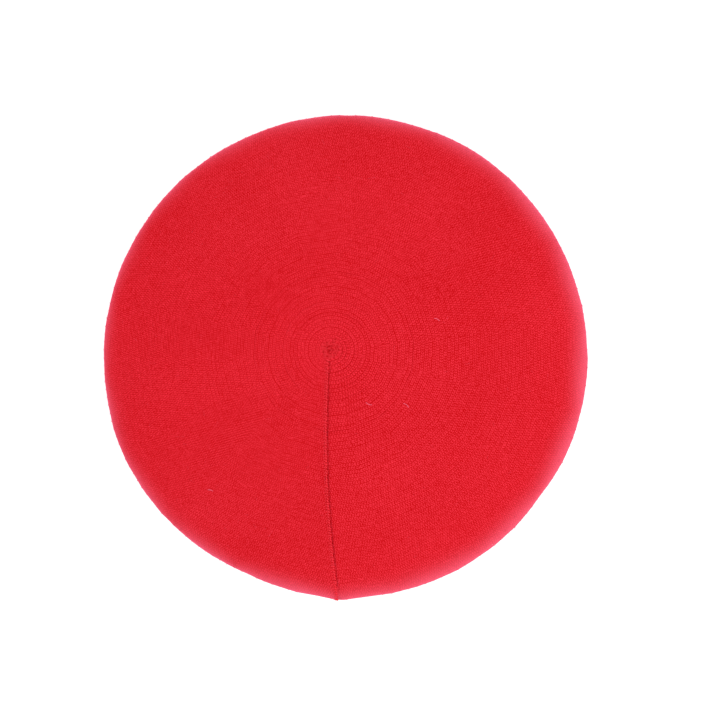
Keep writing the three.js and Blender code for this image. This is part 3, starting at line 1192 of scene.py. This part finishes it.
def make_label_stitches():
    """Three turns of thread round the label's top edge at each corner, through the band."""
    solid = Solid()
    reach = (stitch_low[0] + stitch_high[0]) / 2
    width = stitch_high[0] - stitch_low[0]
    a = np.linspace(0, TAU, 24, endpoint=False)
    y = stitch_low[1] - 0.05 + 1.45 * np.cos(a)
    z = stitch_low[2] - 0.70 + 0.95 * np.sin(a)
    for side in (-1, 1):
        for step in (-1, 0, 1):
            x = side * reach + step * width * 0.32 + 0.35 * np.sin(a)
            solid.loop(np.stack([x, y, z], -1), 0.24)
    return solid.build("label_corner_stitches", RED_THREAD)


label, LABEL_TAPE = make_label()
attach(label, "label")
settle(label, "label_cloth", "care_label")

label_stitches = make_label_stitches()
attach(label_stitches, "headband")
settle(label_stitches, "red_thread", "label_stitch_left", "label_stitch_right")


# --- floor, light, view


# The lamps: name, place in metres, watts.
LAMPS = (("key", (1.1, -0.8, 1.25), 9.0), ("fill", (-0.9, 0.95, 1.25), 3.8))
LAMP_SIZE = 0.9
SKY_LEVEL = 0.78
SKY_GLOW = 0.3  # how much brighter the sky is at the horizon
FLOOR_GLOW = 0.5
FLOOR_SIDE = 9000
VIEW_WIDTH = 434.3  # how much of the rim's plane the camera takes in
CAMERA_X, CAMERA_Y = 8.4, -2.1


def make_stage():
    """A white floor, an even sky a little brighter at the horizon, and two soft lamps."""
    floor_graph = Graph("floor")
    grain = floor_graph.noise(floor_graph.place(), 30.0)
    floor_colour = floor_graph.mix(grain, rgb(0.88, 0.88, 0.88), rgb(0.92, 0.92, 0.92))
    floor_graph.put(floor_graph.shader.inputs["Base Color"], floor_colour)
    floor_graph.shader.inputs["Roughness"].default_value = 0.8
    floor_graph.shader.inputs["Emission Color"].default_value = (1, 1, 1, 1)
    floor_graph.shader.inputs["Emission Strength"].default_value = FLOOR_GLOW
    corners = [(x * FLOOR_SIDE, y * FLOOR_SIDE, 0) for x, y in ((-1, -1), (1, -1), (1, 1), (-1, 1))]
    floor = make_mesh("floor", corners, [(0, 1, 2, 3)], floor_graph.material)
    floor.location.z = -0.05 * MM

    world = bpy.data.worlds.new("studio")
    bpy.context.scene.world = world
    world.use_nodes = True
    sky = Sky(world)
    sky.put(sky.background.inputs["Color"], (1, 1, 1, 1))
    way = sky.node("ShaderNodeTexCoord").outputs["Generated"]
    up = sky.node("ShaderNodeSeparateXYZ", {"Vector": way})
    level = sky.math("SUBTRACT", 1.0, sky.math("ABSOLUTE", up.outputs["Z"]))
    strength = sky.times(sky.math("POWER", level, 2.0), SKY_GLOW, SKY_LEVEL)
    sky.put(sky.background.inputs["Strength"], strength)

    for name, spot, power in LAMPS:
        light = bpy.data.lights.new(name, "AREA")
        light.shape = "DISK"
        light.size = LAMP_SIZE
        light.energy = power
        lamp = bpy.data.objects.new(name, light)
        lamp.location = spot
        lamp.rotation_euler = (-Vector(spot)).to_track_quat("-Z", "Y").to_euler()
        bpy.context.scene.collection.objects.link(lamp)


def make_camera():
    """Straight above, a little to the right of the beret and behind its middle."""
    lens, sensor = 85, 36
    camera = bpy.data.cameras.new("camera")
    camera.lens = lens
    camera.sensor_width = sensor
    thing = bpy.data.objects.new("camera", camera)
    above_rim = VIEW_WIDTH * lens / sensor
    thing.location = (CAMERA_X * MM, CAMERA_Y * MM, (RIM_Z + above_rim) * MM)
    bpy.context.scene.collection.objects.link(thing)
    bpy.context.scene.camera = thing


make_stage()
make_camera()
bpy.context.scene.view_settings.view_transform = "Standard"
